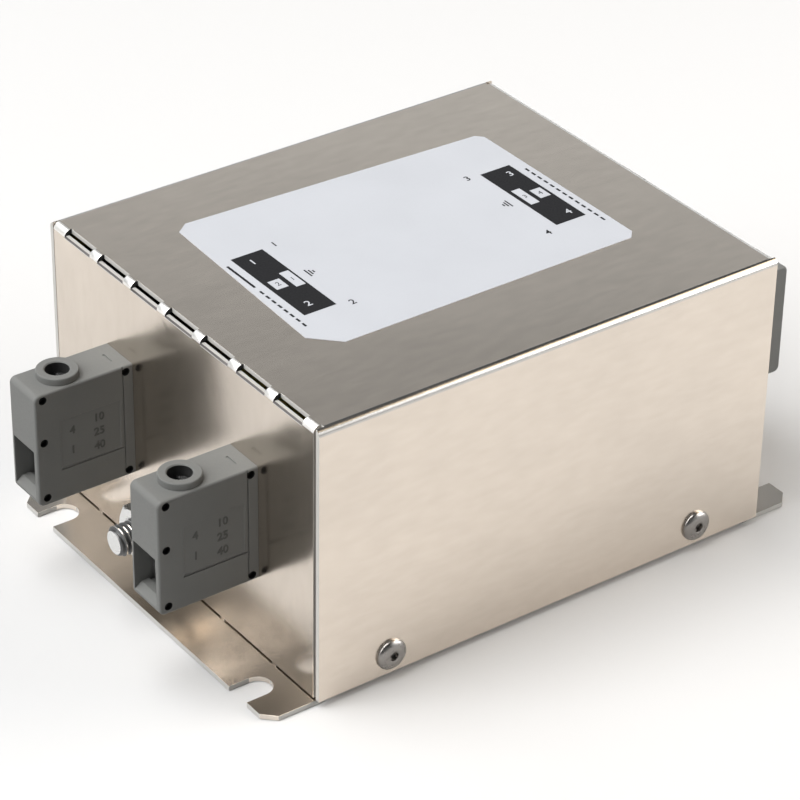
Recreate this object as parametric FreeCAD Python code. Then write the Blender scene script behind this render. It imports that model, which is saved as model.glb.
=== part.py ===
import FreeCAD, Part
import math
import os

# Single-phase line filter in a sheet metal case, with a screw terminal for each
# conductor and one earth stud at both ends. Millimetres.
# X runs across the width, Y runs along the case from one terminal end to the other,
# and Z points up from the mounting surface. The origin is the middle of the footprint.
# U is the distance outwards from the outer face of the front end panel.

V = FreeCAD.Vector

# Case
CASE_LENGTH = 101.4
CASE_WIDTH = 87.0
CASE_HEIGHT = 58.0
SHEET = 1.0
INNER_BEND = 0.25
SEAM = 0.35  # gap between the base and the lower edge of the cover
PANEL_LEFT_INSET = 1.15  # the front panel stops this far short of the left side's outer face
PANEL_RIGHT_INSET = 1.75
FOLD_CUT = 1.6  # how far the slots reach down and in from the sharp corner
FOLD_SLOTS = 7  # at the front; the rear fold has none
FOLD_SLOT_LENGTH = 8.7
FOLD_SLOT_PITCH = 11.37
NIB_X = (12.7, 29.4)
NIB_WIDTH = 1.2

# Base
FLANGE_LENGTH = 10.1
FLANGE_INSET = 1.2
FLANGE_CHAMFER = 2.4
MOUNT_SLOT_INSET = 10.5  # from the side's outer face
MOUNT_SLOT_RADIUS = 2.8
MOUNT_SLOT_DEPTH = 4.2  # from the flange's end to the middle of the slot's round end
LIP_HEIGHT = 11.0
LIP_INSET = 3.2
RELIEF_LENGTH = 1.0
RELIEF_DEPTH = 1.4

# Side rivets
RIVET_INSET = 15.5
RIVET_Z = 5.5
RIVET_RADIUS = 1.6
RIVET_HEAD_RADIUS = 3.1
RIVET_HEAD_HEIGHT = 1.2
RIVET_HEAD_EDGE = 0.2
RIVET_BORE = 0.9
RIVET_BORE_RIM = 1.2
RIVET_TAIL_RADIUS = 2.5
RIVET_TAIL_LENGTH = 5.0

# Label corners, in order round the outline
LABEL = [
    (-26.2, -33.6), (17.5, -35.6), (22.5, -30.6), (22.3, 33.6),
    (20.5, 35.2), (-24.2, 35.0), (-25.6, 33.6), (-28.2, -31.0),
]
LABEL_THICKNESS = 0.12

# Terminal housings
TERMINAL_X = 20.4
TERMINAL_HALF_WIDTH = 4.5
TERMINAL_LOW = 17.3
TERMINAL_HIGH = 41.0
TERMINAL_DEPTH = 20.6
TERMINAL_TIP_ROUND = 1.2
TERMINAL_ROUND = 0.45
NECK_HALF_WIDTH = 3.5
NECK_LOW = 24.0
NECK_HIGH = 38.0
NECK_DEPTH = 5.2
NECK_PLAY = 0.1
CATCH_HALF_WIDTH = 2.5
CATCH_HEIGHT = 0.8
CATCH_LENGTH = 1.0
ENTRY_LEFT = -3.75
ENTRY_RIGHT = 3.35
ENTRY_LOW = 19.7
ENTRY_HIGH = 28.8
ENTRY_END = 4.5
ENTRY_SLOPE_HEIGHT = 1.2
ENTRY_SLOPE_LENGTH = 1.4
CLAMP_U = 13.1
CHAMBER_HALF_DEPTH = 4.5
CHAMBER_LOW = 19.3
CHAMBER_HIGH = 39.3
COLLAR_RADIUS = 3.95
COLLAR_HEIGHT = 1.4
COLLAR_ROUND = 0.25
DRIVER_HOLE_RADIUS = 2.25
DRIVER_HOLE_FLARE = 0.25
PIN_HOLES = [(18.9, 39.75), (19.0, 30.75), (18.85, 18.9), (1.45, 39.75), (1.35, 18.5)]
PIN_HOLE_RADIUS = 0.78
PIN_HOLE_DEPTH = 0.9
SCORE_DEPTH = 0.2
SCORE_WIDTH = 0.25
JOINT_LINE_U = 2.0
SCORE_END_U = 15.6
SCORE_Z = 23.7
TICK = (-1.2, 1.6)
TICK_U = 2.5

# Clamps, screws and current bars in the terminals
CAGE_HALF_WIDTH = 3.2
CAGE_HALF_DEPTH = 3.9
CAGE_LOW = 19.9
CAGE_HIGH = 34.4
CAGE_SIDE = 0.9
CAGE_FLOOR = 1.3
CAGE_ROOF = 3.0
CAGE_ROUND = 0.8
SCREW_RADIUS = 1.97
SCREW_HEAD_RADIUS = 2.12
SCREW_HEAD_LOW = 37.8
SCREW_HEAD_HEIGHT = 2.5
SCREW_SLOT_WIDTH = 0.9
SCREW_SLOT_DEPTH = 1.3
THREAD_PLAY = 0.03
BAR_HALF_WIDTH = 2.1
BAR_PLAY = 0.05
BAR_LOW = 29.4
BAR_HIGH = 30.9
BAR_OUTER_U = 16.4
BAR_INNER = 12.2  # how far the bar reaches inside from the panel's outer face
BAR_ROUND = 1.2
TAG_INSIDE = 10.2
LEAD_RADIUS = 1.1
RETAINER_RIM = 1.6
RETAINER_REACH = 2.0
RETAINER_THICKNESS = 1.2

# Earth studs
EARTH_Z = 16.4
EARTH_RADIUS = 3.0
EARTH_HOLE_RADIUS = 3.2
EARTH_LENGTH = 14.7
EARTH_TIP = 0.75
NUT_FLATS = 10.0
NUT_HEIGHT = 5.0
NUT_ANGLE = 15.0
NUT_CHAMFER = 0.6
NUT_SINK = 0.4
SCREW_HEX_HEIGHT = 4.0
TOOTHED_WASHER = 0.7
TOOTHED_WASHER_RADIUS = 5.5
TOOTH_ROOT = 4.4
TOOTH_GAP = 1.0
TEETH = 10
PLAIN_WASHER = 1.6
PLAIN_WASHERS = 2  # a ring lug goes between them
PLAIN_WASHER_RADIUS = 6.0
SPRING_WASHER = 1.6
SPRING_WASHER_RADIUS = 5.6
SPRING_GAP = 0.7
LUG_THICKNESS = 0.8
LUG_EYE_RADIUS = 5.2
LUG_HALF_WIDTH = 2.2
LUG_REACH = 16.0
LUG_BARREL_RADIUS = 1.7
LUG_BARREL_LENGTH = 6.0
EARTH_WIRE_RADIUS = 1.05
EARTH_WIRE_X = -17.5

# Tray and board
RIVET_CLEARANCE = 3.5
PANEL_CLEARANCE = 4.7
TRAY_WALL = 0.8
TRAY_HIGH = 9.0
POST_RADIUS = 3.0
PEG_RADIUS = 1.4
PEG_PLAY = 0.1
PEG_RISE = 1.2
BOARD_SIDE_GAP = 1.5
BOARD_END_GAP = 3.0
POST_SIDE_INSET = 4.5
POST_END_INSET = 3.0
WIRE_HOLE_INSET = 1.6
BOARD_LOW = 7.0
BOARD_HIGH = 8.6
SOLDER_REACH = 0.8

# Choke
CORE_OUTER = 23.0
CORE_INNER = 13.0
CORE_HEIGHT = 20.0
CORE_ROUND = 1.5
CHOKE_Z = 22.4
WIRE_RADIUS = 1.2
WINDING_GAP = 0.02
WINDING_CORNER = 1.6
TURNS = 7
WINDING_ANGLE = 68.0
DIVIDER_THICKNESS = 1.6
DIVIDER_GAP = 0.3
DIVIDER_RISE = 3.0
DIVIDER_FOOT = (2.6, 7.5)
DIVIDER_FOOT_HEIGHT = 1.4

# Capacitors and resistor
LINE_CAPACITOR_HALF_WIDTH = 15.75
LINE_CAPACITOR_HIGH = 33.0
LINE_CAPACITOR_LEG_X = 13.75
CORE_CLEARANCE = 4.0
LEAD_CLEARANCE = 2.5
EARTH_CAPACITOR_INSET = 6.4
EARTH_CAPACITOR_HALF_WIDTH = 2.5
EARTH_CAPACITOR_LENGTH = 13.0
EARTH_CAPACITOR_HIGH = 21.0
EARTH_CAPACITOR_LEG = 1.5
STAND_OFF = 0.4
CASE_ROUND = 0.8
LEG_RADIUS = 0.4
THIN_LEG_RADIUS = 0.35
LEG_LENGTH = 4.0
FOOT_X = 10.0
FOOT_HALF_WIDTH = 1.0
FOOT_INSET = 0.5
RESISTOR_INSET = 3.0
RESISTOR_RADIUS = 1.6
RESISTOR_LENGTH = 10.0
RESISTOR_SPAN = 16.0
RESISTOR_RISE = 2.2

# How far a cutting tool runs past the surface that it cuts
OVER = 1.0

HALF_LENGTH = CASE_LENGTH / 2.0
HALF_WIDTH = CASE_WIDTH / 2.0
FACE = -HALF_LENGTH
OUTER_BEND = INNER_BEND + SHEET
SPRING_WASHER_U = TOOTHED_WASHER + PLAIN_WASHERS * PLAIN_WASHER
PANEL_LEFT = -HALF_WIDTH + PANEL_LEFT_INSET
PANEL_RIGHT = HALF_WIDTH - PANEL_RIGHT_INSET
FLANGE_HALF_WIDTH = HALF_WIDTH - FLANGE_INSET
FLANGE_END = HALF_LENGTH + FLANGE_LENGTH
MOUNT_SLOT_X = HALF_WIDTH - MOUNT_SLOT_INSET
MOUNT_SLOT_CENTRE = FLANGE_END - MOUNT_SLOT_DEPTH
LIP_END = HALF_LENGTH - LIP_INSET
RIVET_Y = HALF_LENGTH - RIVET_INSET
CLAMP_Y = FACE - CLAMP_U
TAG_Y = FACE + TAG_INSIDE
ENTRY_MIDDLE = (ENTRY_LEFT + ENTRY_RIGHT) / 2.0
TRAY_HALF_WIDTH = HALF_WIDTH - RIVET_TAIL_LENGTH - RIVET_CLEARANCE
TRAY_HALF_LENGTH = HALF_LENGTH - PANEL_CLEARANCE
BOARD_HALF_WIDTH = TRAY_HALF_WIDTH - BOARD_SIDE_GAP
BOARD_HALF_LENGTH = TRAY_HALF_LENGTH - BOARD_END_GAP
POST_X = BOARD_HALF_WIDTH - POST_SIDE_INSET
POST_Y = BOARD_HALF_LENGTH - POST_END_INSET
EARTH_WIRE_Y = -BOARD_HALF_LENGTH + WIRE_HOLE_INSET
SOLDER_Z = BOARD_LOW - SOLDER_REACH
EARTH_CAPACITOR_X = BOARD_HALF_WIDTH - EARTH_CAPACITOR_INSET
CAPACITOR_OUTER_Y = TAG_Y + LEAD_CLEARANCE
LINE_CAPACITOR_INNER_Y = -CORE_OUTER - CORE_CLEARANCE
LINE_CAPACITOR_Y = (CAPACITOR_OUTER_Y + LINE_CAPACITOR_INNER_Y) / 2.0
RESISTOR_X = -BOARD_HALF_WIDTH + RESISTOR_INSET


def box(x0, x1, y0, y1, z0, z1):
    return Part.makeBox(x1 - x0, y1 - y0, z1 - z0, V(x0, y0, z0))


def rod(start, direction, radius, length):
    return Part.makeCylinder(radius, length, V(*start), V(*direction))


def outline(points, direction):
    closed = [V(*p) for p in points] + [V(*points[0])]
    return Part.Face(Part.makePolygon(closed)).extrude(V(*direction))


def revolved(points, centre, axis):
    closed = [V(*p) for p in points] + [V(*points[0])]
    return Part.Face(Part.makePolygon(closed)).revolve(V(*centre), V(*axis), 360)


def join(shapes):
    result = shapes[0]
    if len(shapes) > 1:
        result = shapes[0].fuse(shapes[1:])
    return result.removeSplitter()


def save(name, shapes):
    """Writes one node, from one solid or from several separate ones."""
    solids = []
    for shape in shapes if isinstance(shapes, list) else [shapes]:
        solids.extend(shape.Solids)
    whole = solids[0] if len(solids) == 1 else Part.makeCompound(solids)
    whole.exportStep("parts/" + name + ".step")
    print(name, len(solids), "solids", round(whole.Volume, 1), "mm3", whole.isValid())


def turned(shape):
    """A copy of a shape at the front end, turned round to the rear end."""
    copy = shape.copy()
    copy.rotate(V(0, 0, 0), V(0, 0, 1), 180)
    return copy


def moved(shape, x, y, z):
    copy = shape.copy()
    copy.translate(V(x, y, z))
    return copy


def mirrored_x(shape):
    return shape.mirror(V(0, 0, 0), V(1, 0, 0))


def hexagon(across_flats, u0, u1, angle):
    """A hexagonal prism along the front end's outward direction, at the earth stud."""
    radius = across_flats / math.sqrt(3.0)
    corners = []
    for k in range(6):
        a = math.radians(angle + 60.0 * k)
        corners.append((radius * math.cos(a), FACE - u0, EARTH_Z + radius * math.sin(a)))
    return outline(corners, (0, -(u1 - u0), 0))


def ring(outer, inner, u0, u1):
    start = (0, FACE - u0, EARTH_Z)
    disc = rod(start, (0, -1, 0), outer, u1 - u0)
    return disc.cut(rod(start, (0, -1, 0), inner, u1 - u0))


def along_x(edge):
    a = edge.Vertexes[0].Point
    b = edge.Vertexes[-1].Point
    return abs(a.y - b.y) < 0.001 and abs(a.z - b.z) < 0.001


def along_y(edge):
    a = edge.Vertexes[0].Point
    b = edge.Vertexes[-1].Point
    return abs(a.x - b.x) < 0.001 and abs(a.z - b.z) < 0.001


def channel(half_width, low, high, end):
    """A folded sheet, open at the bottom, that runs along Y."""
    outer = box(-half_width, half_width, -end, end, low, high)
    inner = box(-half_width + SHEET, half_width - SHEET, -end, end, low, high - SHEET)
    top_edges = [e for e in outer.Edges if along_y(e) and abs(e.CenterOfMass.z - high) < 0.01]
    outer = outer.makeFillet(OUTER_BEND, top_edges)
    under = [e for e in inner.Edges if along_y(e) and abs(e.CenterOfMass.z - high + SHEET) < 0.01]
    inner = inner.makeFillet(INNER_BEND, under)
    return outer.cut(inner)


def rivet_holes(shape):
    for y in (-RIVET_Y, RIVET_Y):
        start = (-HALF_WIDTH - OVER, y, RIVET_Z)
        shape = shape.cut(rod(start, (1, 0, 0), RIVET_RADIUS, CASE_WIDTH + 2 * OVER))
    return shape


def make_end_panel(slots):
    """An end panel at the front with its fold, which hangs on the strips between the slots."""
    x0 = PANEL_LEFT
    x1 = PANEL_RIGHT
    r = OUTER_BEND
    top = CASE_HEIGHT
    bottom = SHEET + SEAM
    edge = FACE + FOLD_CUT
    panel = box(x0, x1, FACE, FACE + SHEET, bottom, top - r)
    outer = rod((x0, FACE + r, top - r), (1, 0, 0), r, x1 - x0)
    inner = rod((x0, FACE + r, top - r), (1, 0, 0), INNER_BEND, x1 - x0)
    quarter = box(x0, x1, FACE, FACE + r, top - r, top)
    fold = outer.cut(inner).common(quarter)
    flat = box(x0, x1, FACE + r, edge, top - SHEET, top)
    panel = panel.fuse([fold, flat])
    cuts = []
    for k in range(slots):
        start = (k - (slots - 1) / 2.0) * FOLD_SLOT_PITCH - FOLD_SLOT_LENGTH / 2.0
        cuts.append(box(start, start + FOLD_SLOT_LENGTH, FACE - OVER, edge, top - FOLD_CUT, top + OVER))
    half = NECK_HALF_WIDTH + NECK_PLAY
    low = NECK_LOW - NECK_PLAY
    high = NECK_HIGH + NECK_PLAY
    for x in (-TERMINAL_X, TERMINAL_X):
        cuts.append(box(x - half, x + half, FACE - OVER, FACE + SHEET + OVER, low, high))
    cuts.append(rod((0, FACE - OVER, EARTH_Z), (0, 1, 0), EARTH_HOLE_RADIUS, SHEET + 2 * OVER))
    panel = panel.cut(cuts)
    w = NIB_WIDTH / 2.0
    for x in (-NIB_X[1], -NIB_X[0], NIB_X[0], NIB_X[1]):
        panel = panel.fuse(box(x - w, x + w, FACE, FACE + SHEET, SHEET, bottom))
    return panel


def make_cover():
    bottom = SHEET + SEAM
    top = CASE_HEIGHT + OVER
    cover = channel(HALF_WIDTH, bottom, CASE_HEIGHT, HALF_LENGTH)
    # The top stops at the folds.
    inner = HALF_WIDTH - SHEET
    edge = HALF_LENGTH - FOLD_CUT
    cover = cover.cut(box(-inner, inner, -HALF_LENGTH - OVER, -edge, bottom, top))
    cover = cover.cut(box(-inner, inner, edge, HALF_LENGTH + OVER, bottom, top))
    front = make_end_panel(FOLD_SLOTS)
    rear = turned(make_end_panel(0))
    return rivet_holes(join([cover, front, rear]))


def make_base():
    lips = channel(HALF_WIDTH - SHEET, 0, LIP_HEIGHT, LIP_END)
    lips.rotate(V(0, 0, LIP_HEIGHT / 2.0), V(0, 1, 0), 180)
    f = FLANGE_HALF_WIDTH
    c = FLANGE_CHAMFER
    e = FLANGE_END
    flange = outline(
        [(-f, -LIP_END, 0), (-f, -e + c, 0), (-f + c, -e, 0),
         (f - c, -e, 0), (f, -e + c, 0), (f, -LIP_END, 0)],
        (0, 0, SHEET),
    )
    r = MOUNT_SLOT_RADIUS
    for x in (-MOUNT_SLOT_X, MOUNT_SLOT_X):
        flange = flange.cut(rod((x, -MOUNT_SLOT_CENTRE, -OVER), (0, 0, 1), r, SHEET + 2 * OVER))
        flange = flange.cut(box(x - r, x + r, -e - OVER, -MOUNT_SLOT_CENTRE, -OVER, SHEET + OVER))
    # Relief beside the end of each lip.
    for x0, x1 in ((-f - OVER, -f + RELIEF_DEPTH), (f - RELIEF_DEPTH, f + OVER)):
        flange = flange.cut(box(x0, x1, -LIP_END - RELIEF_LENGTH, -LIP_END, -OVER, SHEET + OVER))
    return rivet_holes(join([lips, flange, turned(flange)]))


def make_rivet(side, y):
    """A blind rivet: domed head outside, mandrel hole, and a swollen tail inside."""
    head = RIVET_HEAD_RADIUS
    tall = RIVET_HEAD_HEIGHT
    edge = RIVET_HEAD_EDGE
    bore = RIVET_BORE
    rim = RIVET_BORE_RIM
    tail = RIVET_TAIL_LENGTH
    profile = [(0, tall * 0.3), (bore, tall * 0.3), (bore, tall * 0.96), (rim, tall)]
    for k in range(1, 6):
        a = math.radians(90 - 15 * k)
        profile.append((rim + (head - rim) * math.cos(a), edge + (tall - edge) * math.sin(a)))
    profile += [(head, edge), (head, 0), (RIVET_RADIUS, 0), (RIVET_RADIUS, -2 * SHEET)]
    profile += [(RIVET_TAIL_RADIUS * 0.96, -2 * SHEET), (RIVET_TAIL_RADIUS, -tail * 0.6)]
    profile += [(RIVET_TAIL_RADIUS * 0.76, -tail * 0.88), (RIVET_TAIL_RADIUS * 0.52, -tail), (0, -tail)]
    points = [(side * (HALF_WIDTH + h), y + r, RIVET_Z) for r, h in profile]
    return revolved(points, (0, y, RIVET_Z), (1, 0, 0))


def make_housing():
    """A terminal block at the front end, centred on X = 0."""
    w = TERMINAL_HALF_WIDTH
    tip = FACE - TERMINAL_DEPTH
    body = box(-w, w, tip, FACE, TERMINAL_LOW, TERMINAL_HIGH)
    tip_edges = [e for e in body.Edges if along_x(e) and e.CenterOfMass.y < tip + 0.01]
    body = body.makeFillet(TERMINAL_TIP_ROUND, tip_edges)
    outline_edges = [e for e in body.Edges if e.CenterOfMass.y < FACE - 0.01 and not along_x(e)]
    body = body.makeFillet(TERMINAL_ROUND, outline_edges)
    collar_top = TERMINAL_HIGH + COLLAR_HEIGHT
    collar = rod((0, CLAMP_Y, TERMINAL_HIGH - OVER), (0, 0, 1), COLLAR_RADIUS, COLLAR_HEIGHT + OVER)
    rim = [e for e in collar.Edges if abs(e.CenterOfMass.z - collar_top) < 0.01]
    collar = collar.makeFillet(COLLAR_ROUND, rim)
    n = NECK_HALF_WIDTH
    neck = box(-n, n, FACE, FACE + NECK_DEPTH, NECK_LOW, NECK_HIGH)
    # The catch holds the retaining frame against the inside of the panel.
    c = CATCH_HALF_WIDTH
    y = FACE + SHEET + RETAINER_THICKNESS
    catch = box(-c, c, y, y + CATCH_LENGTH, NECK_LOW - CATCH_HEIGHT, NECK_HIGH + CATCH_HEIGHT)
    body = body.fuse([collar, neck, catch])
    # The way in for the wire, with a sloped lower lip.
    way_in = box(ENTRY_LEFT, ENTRY_RIGHT, tip - OVER, FACE - ENTRY_END, ENTRY_LOW, ENTRY_HIGH)
    body = body.cut(way_in)
    lip = outline(
        [(ENTRY_LEFT, tip - 0.1, ENTRY_LOW - ENTRY_SLOPE_HEIGHT),
         (ENTRY_LEFT, tip + ENTRY_SLOPE_LENGTH, ENTRY_LOW + 0.01),
         (ENTRY_LEFT, tip - 0.1, ENTRY_LOW + 0.01)],
        (ENTRY_RIGHT - ENTRY_LEFT, 0, 0),
    )
    body = body.cut(lip)
    # The chamber for the clamp, and the hole above it for a screwdriver.
    h = CHAMBER_HALF_DEPTH
    chamber = box(ENTRY_LEFT, ENTRY_RIGHT, CLAMP_Y - h, CLAMP_Y + h, CHAMBER_LOW, CHAMBER_HIGH)
    body = body.cut(chamber)
    r = DRIVER_HOLE_RADIUS
    f = DRIVER_HOLE_FLARE
    start = (0, CLAMP_Y, CHAMBER_HIGH - OVER)
    body = body.cut(rod(start, (0, 0, 1), r, collar_top - CHAMBER_HIGH + 2 * OVER))
    body = body.cut(Part.makeCone(r, r + f, f, V(0, CLAMP_Y, collar_top - f)))
    # The slot for the current bar.
    b = BAR_HALF_WIDTH + BAR_PLAY
    m = ENTRY_MIDDLE
    y0 = CLAMP_Y + h - OVER
    y1 = FACE + NECK_DEPTH + OVER
    body = body.cut(box(m - b, m + b, y0, y1, BAR_LOW - BAR_PLAY, BAR_HIGH + BAR_PLAY))
    # Pin holes, the joint line near the panel and the score, all on one side, and the tick on top.
    marks = []
    for u, z in PIN_HOLES:
        marks.append(rod((w + OVER, FACE - u, z), (-1, 0, 0), PIN_HOLE_RADIUS, PIN_HOLE_DEPTH + OVER))
    s = SCORE_WIDTH
    j = FACE - JOINT_LINE_U
    x0 = w - SCORE_DEPTH
    x1 = w + OVER
    marks.append(box(x0, x1, j - s, j, TERMINAL_LOW - OVER, TERMINAL_HIGH + OVER))
    marks.append(box(x0, x1, FACE - SCORE_END_U, j, SCORE_Z, SCORE_Z + s * 1.4))
    y = FACE - TICK_U
    marks.append(box(TICK[0], TICK[1], y - s * 1.6, y, TERMINAL_HIGH - SCORE_DEPTH, TERMINAL_HIGH + OVER))
    return body.cut(marks)


def make_cage():
    """The steel frame that the screw lifts to press the wire against the bar."""
    m = ENTRY_MIDDLE
    w = CAGE_HALF_WIDTH
    d = CAGE_HALF_DEPTH
    inner = w - CAGE_SIDE
    frame = box(m - w, m + w, CLAMP_Y - d, CLAMP_Y + d, CAGE_LOW, CAGE_HIGH)
    frame = frame.makeFillet(CAGE_ROUND, [e for e in frame.Edges if along_y(e)])
    roof = CAGE_HIGH - CAGE_ROOF
    y0 = CLAMP_Y - d - OVER
    y1 = CLAMP_Y + d + OVER
    frame = frame.cut(box(m - inner, m + inner, y0, y1, CAGE_LOW + CAGE_FLOOR, roof))
    start = (0, CLAMP_Y, roof - OVER)
    return frame.cut(rod(start, (0, 0, 1), SCREW_RADIUS + THREAD_PLAY, CAGE_ROOF + 2 * OVER))


def make_terminal_screw():
    shank = rod((0, CLAMP_Y, BAR_HIGH), (0, 0, 1), SCREW_RADIUS, SCREW_HEAD_LOW - BAR_HIGH)
    r = SCREW_HEAD_RADIUS
    top = SCREW_HEAD_LOW + SCREW_HEAD_HEIGHT
    head = rod((0, CLAMP_Y, SCREW_HEAD_LOW), (0, 0, 1), r, SCREW_HEAD_HEIGHT)
    head = head.makeFillet(r * 0.11, [e for e in head.Edges if abs(e.CenterOfMass.z - top) < 0.01])
    screw = join([shank, head])
    s = SCREW_SLOT_WIDTH / 2.0
    return screw.cut(box(-r - OVER, r + OVER, CLAMP_Y - s, CLAMP_Y + s, top - SCREW_SLOT_DEPTH, top + OVER))


def make_bar():
    """The copper bar from the clamp through the neck to a solder tag inside."""
    m = ENTRY_MIDDLE
    b = BAR_HALF_WIDTH
    bar = box(m - b, m + b, FACE - BAR_OUTER_U, FACE + BAR_INNER, BAR_LOW, BAR_HIGH)
    thickness = BAR_HIGH - BAR_LOW
    corners = [e for e in bar.Edges if abs(e.Length - thickness) < 0.01 and e.CenterOfMass.y > FACE]
    bar = bar.makeFillet(BAR_ROUND, corners)
    start = (m, TAG_Y, BAR_LOW - OVER)
    return bar.cut(rod(start, (0, 0, 1), LEAD_RADIUS + BAR_PLAY, 2 * OVER + thickness))


def make_retainer():
    """The frame that locks a terminal's neck behind the panel."""
    y = FACE + SHEET
    n = NECK_HALF_WIDTH
    w = n + RETAINER_RIM
    frame = box(-w, w, y, y + RETAINER_THICKNESS, NECK_LOW - RETAINER_REACH, NECK_HIGH + RETAINER_REACH)
    frame = frame.makeFillet(RETAINER_RIM * 0.6, [e for e in frame.Edges if along_y(e)])
    return frame.cut(box(-n, n, FACE, y + RETAINER_THICKNESS + OVER, NECK_LOW, NECK_HIGH))


def at_terminals(shape):
    """Copies a terminal piece to the four places: front left, front right, rear left, rear right."""
    left = moved(shape, -TERMINAL_X, 0, 0)
    right = moved(shape, TERMINAL_X, 0, 0)
    return [left, right, turned(right), turned(left)]


def make_earth_screw():
    back = SHEET + LUG_THICKNESS
    shank = rod((0, FACE + back, EARTH_Z), (0, -1, 0), EARTH_RADIUS - THREAD_PLAY, EARTH_LENGTH + back)
    tip = [e for e in shank.Edges if abs(e.CenterOfMass.y - FACE + EARTH_LENGTH) < 0.01]
    shank = shank.makeChamfer(EARTH_TIP, tip)
    head = hexagon(NUT_FLATS, -back - SCREW_HEX_HEIGHT, -back, 0)
    return join([shank, head])


def make_earth_nut():
    u0 = SPRING_WASHER_U + SPRING_WASHER
    near = FACE - u0
    far = near - NUT_HEIGHT
    nut = hexagon(NUT_FLATS, u0, u0 + NUT_HEIGHT, NUT_ANGLE)
    # A cone at each end takes the corners off, as on a real nut.
    flat = NUT_FLATS / 2.0 - 0.1
    wide = flat + OVER
    c = NUT_CHAMFER
    profile = [(0, near, EARTH_Z), (flat, near, EARTH_Z), (wide, near - c, EARTH_Z),
               (wide, far + c, EARTH_Z), (flat, far, EARTH_Z), (0, far, EARTH_Z)]
    nut = nut.common(revolved(profile, (0, 0, EARTH_Z), (0, 1, 0)))
    nut = nut.cut(rod((0, near + OVER, EARTH_Z), (0, -1, 0), EARTH_RADIUS, NUT_HEIGHT + 2 * OVER))
    s = NUT_SINK
    for y, toward in ((near, -1), (far, 1)):
        nut = nut.cut(Part.makeCone(EARTH_RADIUS + s, EARTH_RADIUS, s, V(0, y, EARTH_Z), V(0, toward, 0)))
    return nut


def make_toothed_washer():
    washer = ring(TOOTHED_WASHER_RADIUS, EARTH_HOLE_RADIUS, 0, TOOTHED_WASHER)
    g = TOOTH_GAP / 2.0
    cuts = []
    for k in range(TEETH):
        x1 = TOOTHED_WASHER_RADIUS + OVER
        notch = box(TOOTH_ROOT, x1, FACE - TOOTHED_WASHER, FACE, EARTH_Z - g, EARTH_Z + g)
        notch.rotate(V(0, 0, EARTH_Z), V(0, 1, 0), 360.0 * k / TEETH)
        cuts.append(notch)
    return washer.cut(cuts)


def make_plain_washers():
    washer = ring(PLAIN_WASHER_RADIUS, EARTH_HOLE_RADIUS, TOOTHED_WASHER, TOOTHED_WASHER + PLAIN_WASHER)
    return [moved(washer, 0, -k * PLAIN_WASHER, 0) for k in range(PLAIN_WASHERS)]


def make_spring_washer():
    u0 = SPRING_WASHER_U
    u1 = u0 + SPRING_WASHER
    washer = ring(SPRING_WASHER_RADIUS, EARTH_HOLE_RADIUS, u0, u1)
    g = SPRING_GAP / 2.0
    inner = EARTH_HOLE_RADIUS - OVER
    outer = SPRING_WASHER_RADIUS + OVER
    gap = box(inner, outer, FACE - u1 - OVER, FACE - u0 + OVER, EARTH_Z - g, EARTH_Z + g)
    gap.rotate(V(0, 0, EARTH_Z), V(0, 1, 0), -60)
    return washer.cut(gap)


def make_earth_lug():
    y = FACE + SHEET
    r = LUG_BARREL_RADIUS
    eye = rod((0, y, EARTH_Z), (0, 1, 0), LUG_EYE_RADIUS, LUG_THICKNESS)
    w = LUG_HALF_WIDTH
    tongue = box(-LUG_REACH, 0, y, y + LUG_THICKNESS, EARTH_Z - w, EARTH_Z + w)
    barrel = rod((-LUG_REACH, y + r, EARTH_Z), (1, 0, 0), r, LUG_BARREL_LENGTH)
    lug = join([eye, tongue, barrel])
    lug = lug.cut(rod((0, y - OVER, EARTH_Z), (0, 1, 0), EARTH_HOLE_RADIUS, LUG_THICKNESS + 2 * OVER))
    bore = EARTH_WIRE_RADIUS + BAR_PLAY
    return lug.cut(rod((-LUG_REACH - OVER, y + r, EARTH_Z), (1, 0, 0), bore, LUG_BARREL_LENGTH))


def pipe(points, radius):
    """A round wire that follows the given corners, with a ball at each bend."""
    pieces = []
    for a, b in zip(points, points[1:]):
        d = V(*b) - V(*a)
        pieces.append(Part.makeCylinder(radius, d.Length, V(*a), d))
    for p in points[1:-1]:
        pieces.append(Part.makeSphere(radius, V(*p)))
    return join(pieces)


def make_earth_wire():
    y = FACE + SHEET + LUG_BARREL_RADIUS
    start = -LUG_REACH - OVER + LUG_BARREL_LENGTH - BAR_PLAY * 4
    x = EARTH_WIRE_X
    end = EARTH_WIRE_Y
    bend = EARTH_Z - 2 * EARTH_WIRE_RADIUS
    corners = [(start, y, EARTH_Z), (x, y, EARTH_Z), (x, end, bend), (x, end, SOLDER_Z)]
    return pipe(corners, EARTH_WIRE_RADIUS)


def make_tray():
    w = TRAY_HALF_WIDTH
    e = TRAY_HALF_LENGTH
    t = TRAY_WALL
    floor = SHEET + t
    tray = box(-w, w, -e, e, SHEET, TRAY_HIGH)
    tray = tray.cut(box(-w + t, w - t, -e + t, e - t, floor, TRAY_HIGH + OVER))
    posts = []
    for x in (-POST_X, POST_X):
        for y in (-POST_Y, POST_Y):
            posts.append(rod((x, y, SHEET), (0, 0, 1), POST_RADIUS, BOARD_LOW - SHEET))
            posts.append(rod((x, y, SHEET), (0, 0, 1), PEG_RADIUS, BOARD_HIGH + PEG_RISE - SHEET))
    return join([tray] + posts)


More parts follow.
